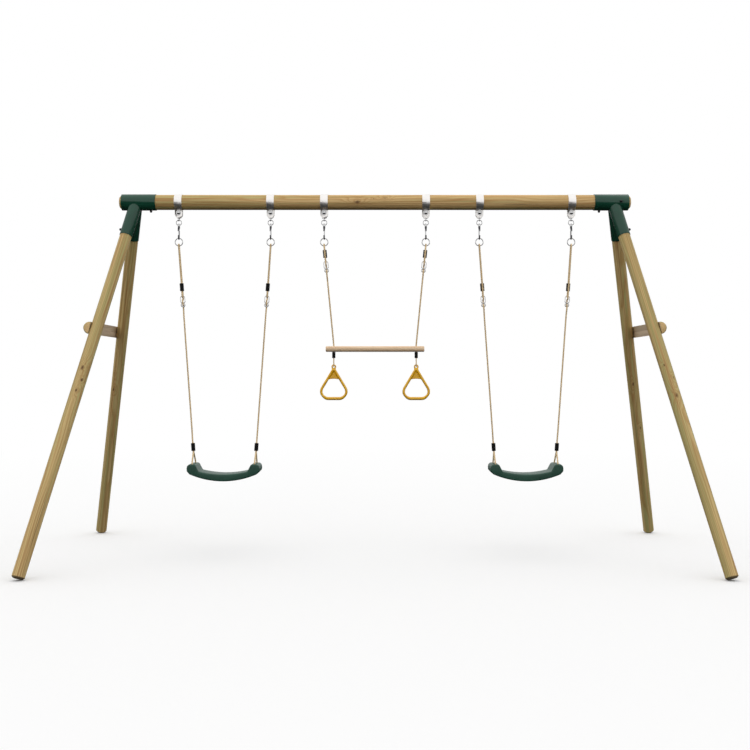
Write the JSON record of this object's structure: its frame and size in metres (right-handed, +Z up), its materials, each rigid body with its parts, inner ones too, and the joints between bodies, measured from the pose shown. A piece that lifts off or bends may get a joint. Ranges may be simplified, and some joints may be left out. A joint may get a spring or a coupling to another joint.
{
  "type": "swing set",
  "caption": "Timber A-frame swing set with round beam, green steel corner sleeves, moulded rope-hung seats and a trapeze bar with yellow hand rings.",
  "frame": {"origin": "on the ground below the middle of the beam", "axes": "+X along the beam to the right seen from the front, +Y to the back, +Z up"},
  "size_m": [3.7134, 1.6834, 2.1135],
  "materials": {
    "treated_pine": "smooth sawn and machined-round pressure-treated pine, visible grain and knots",
    "green_steel": "dark green powder coat",
    "black_steel": "black coated screws",
    "galvanised_strap": "bright galvanised strip",
    "zinc_steel": "zinc plated steel",
    "hemp_rope": "laid hemp-look rope",
    "black_plastic": "matt black moulded plastic",
    "green_plastic": "dark green blow-moulded plastic, fine grain",
    "turned_beech": "pale turned hardwood, lightly oiled",
    "yellow_plastic": "glossy yellow moulded plastic"
  },
  "bodies": {
    "frame": {"beam_clamp_1": "galvanised_strap", "beam_clamp_2": "galvanised_strap", "beam_clamp_3": "galvanised_strap", "beam_clamp_4": "galvanised_strap", "beam_clamp_5": "galvanised_strap", "beam_clamp_6": "galvanised_strap", "brace_bolts": "zinc_steel", "brace_left": "treated_pine", "brace_right": "treated_pine", "bracket_screws": "black_steel", "clamp_bolts": "zinc_steel", "clamp_nuts": "zinc_steel", "clamp_washers": "zinc_steel", "corner_bracket_left": "green_steel", "corner_bracket_right": "green_steel", "leg_left_back": "treated_pine", "leg_left_front": "treated_pine", "leg_right_back": "treated_pine", "leg_right_front": "treated_pine", "top_beam": "treated_pine", "twisted_links": "zinc_steel"},
    "left_swing": {"left_swing_adjusters": "zinc_steel", "left_swing_hanging_rings": "zinc_steel", "left_swing_rope_left": "hemp_rope", "left_swing_rope_right": "hemp_rope", "left_swing_seat": "green_plastic", "left_swing_sleeves": "black_plastic", "left_swing_swivel_eyes": "zinc_steel"},
    "right_swing": {"right_swing_adjusters": "zinc_steel", "right_swing_hanging_rings": "zinc_steel", "right_swing_rope_left": "hemp_rope", "right_swing_rope_right": "hemp_rope", "right_swing_seat": "green_plastic", "right_swing_sleeves": "black_plastic", "right_swing_swivel_eyes": "zinc_steel"},
    "trapeze": {"trapeze_adjusters": "zinc_steel", "trapeze_bar": "turned_beech", "trapeze_hanging_rings": "zinc_steel", "trapeze_rope_left": "hemp_rope", "trapeze_rope_right": "hemp_rope", "trapeze_sleeves": "black_plastic", "trapeze_swivel_eyes": "zinc_steel"},
    "hand_ring_left": {"hand_ring_left": "yellow_plastic"},
    "hand_ring_right": {"hand_ring_right": "yellow_plastic"},
    "left_swing_gate_left": {"left_swing_gate_left": "zinc_steel"},
    "left_swing_gate_right": {"left_swing_gate_right": "zinc_steel"},
    "left_swing_hook_left": {"left_swing_hook_left": "zinc_steel"},
    "left_swing_hook_right": {"left_swing_hook_right": "zinc_steel"},
    "right_swing_gate_left": {"right_swing_gate_left": "zinc_steel"},
    "right_swing_gate_right": {"right_swing_gate_right": "zinc_steel"},
    "right_swing_hook_left": {"right_swing_hook_left": "zinc_steel"},
    "right_swing_hook_right": {"right_swing_hook_right": "zinc_steel"},
    "ring_loop_left": {"ring_loop_left": "hemp_rope"},
    "ring_loop_right": {"ring_loop_right": "hemp_rope"},
    "trapeze_gate_left": {"trapeze_gate_left": "zinc_steel"},
    "trapeze_gate_right": {"trapeze_gate_right": "zinc_steel"},
    "trapeze_hook_left": {"trapeze_hook_left": "zinc_steel"},
    "trapeze_hook_right": {"trapeze_hook_right": "zinc_steel"}
  },
  "joints": [
    {"name": "left_swing_sway", "type": "hinge", "parent": "frame", "child": "left_swing", "pos_m": [-0.884, 0, 1.9625], "axis": [1, 0, 0], "range_deg": [-60, 60]},
    {"name": "right_swing_sway", "type": "hinge", "parent": "frame", "child": "right_swing", "pos_m": [0.884, 0, 1.9625], "axis": [1, 0, 0], "range_deg": [-60, 60]},
    {"name": "trapeze_sway", "type": "hinge", "parent": "frame", "child": "trapeze", "pos_m": [0, 0, 1.9625], "axis": [1, 0, 0], "range_deg": [-60, 60]},
    {"name": "left_swing_hook_left_swivel", "type": "hinge", "parent": "left_swing", "child": "left_swing_hook_left", "pos_m": [-1.154, 0, 1.9258], "axis": [0, 0, 1], "range_deg": [-25, 25]},
    {"name": "left_swing_gate_left_pivot", "type": "hinge", "parent": "left_swing_hook_left", "child": "left_swing_gate_left", "pos_m": [-1.154, -0.0095, 1.9005], "axis": [1, 0, 0], "range_deg": [0, 25], "stiffness_Nm_per_rad": 0.02},
    {"name": "left_swing_hook_right_swivel", "type": "hinge", "parent": "left_swing", "child": "left_swing_hook_right", "pos_m": [-0.614, 0, 1.9258], "axis": [0, 0, 1], "range_deg": [-25, 25]},
    {"name": "left_swing_gate_right_pivot", "type": "hinge", "parent": "left_swing_hook_right", "child": "left_swing_gate_right", "pos_m": [-0.614, -0.0095, 1.9005], "axis": [1, 0, 0], "range_deg": [0, 25], "stiffness_Nm_per_rad": 0.02},
    {"name": "right_swing_hook_left_swivel", "type": "hinge", "parent": "right_swing", "child": "right_swing_hook_left", "pos_m": [0.614, 0, 1.9258], "axis": [0, 0, 1], "range_deg": [-25, 25]},
    {"name": "right_swing_gate_left_pivot", "type": "hinge", "parent": "right_swing_hook_left", "child": "right_swing_gate_left", "pos_m": [0.614, -0.0095, 1.9005], "axis": [1, 0, 0], "range_deg": [0, 25], "stiffness_Nm_per_rad": 0.02},
    {"name": "right_swing_hook_right_swivel", "type": "hinge", "parent": "right_swing", "child": "right_swing_hook_right", "pos_m": [1.154, 0, 1.9258], "axis": [0, 0, 1], "range_deg": [-25, 25]},
    {"name": "right_swing_gate_right_pivot", "type": "hinge", "parent": "right_swing_hook_right", "child": "right_swing_gate_right", "pos_m": [1.154, -0.0095, 1.9005], "axis": [1, 0, 0], "range_deg": [0, 25], "stiffness_Nm_per_rad": 0.02},
    {"name": "trapeze_hook_left_swivel", "type": "hinge", "parent": "trapeze", "child": "trapeze_hook_left", "pos_m": [-0.299, 0, 1.9258], "axis": [0, 0, 1], "range_deg": [-25, 25]},
    {"name": "trapeze_gate_left_pivot", "type": "hinge", "parent": "trapeze_hook_left", "child": "trapeze_gate_left", "pos_m": [-0.299, -0.0095, 1.9005], "axis": [1, 0, 0], "range_deg": [0, 25], "stiffness_Nm_per_rad": 0.02},
    {"name": "trapeze_hook_right_swivel", "type": "hinge", "parent": "trapeze", "child": "trapeze_hook_right", "pos_m": [0.299, 0, 1.9258], "axis": [0, 0, 1], "range_deg": [-25, 25]},
    {"name": "trapeze_gate_right_pivot", "type": "hinge", "parent": "trapeze_hook_right", "child": "trapeze_gate_right", "pos_m": [0.299, -0.0095, 1.9005], "axis": [1, 0, 0], "range_deg": [0, 25], "stiffness_Nm_per_rad": 0.02},
    {"name": "ring_loop_left_sway", "type": "hinge", "parent": "trapeze", "child": "ring_loop_left", "pos_m": [-0.2425, 0, 1.143], "axis": [1, 0, 0], "range_deg": [-60, 60]},
    {"name": "hand_ring_left_sway", "type": "hinge", "parent": "ring_loop_left", "child": "hand_ring_left", "pos_m": [-0.2425, 0, 1.1019], "axis": [0, 1, 0], "range_deg": [-35, 35]},
    {"name": "ring_loop_right_sway", "type": "hinge", "parent": "trapeze", "child": "ring_loop_right", "pos_m": [0.2425, 0, 1.143], "axis": [1, 0, 0], "range_deg": [-60, 60]},
    {"name": "hand_ring_right_sway", "type": "hinge", "parent": "ring_loop_right", "child": "hand_ring_right", "pos_m": [0.2425, 0, 1.1019], "axis": [0, 1, 0], "range_deg": [-35, 35]}
  ]
}
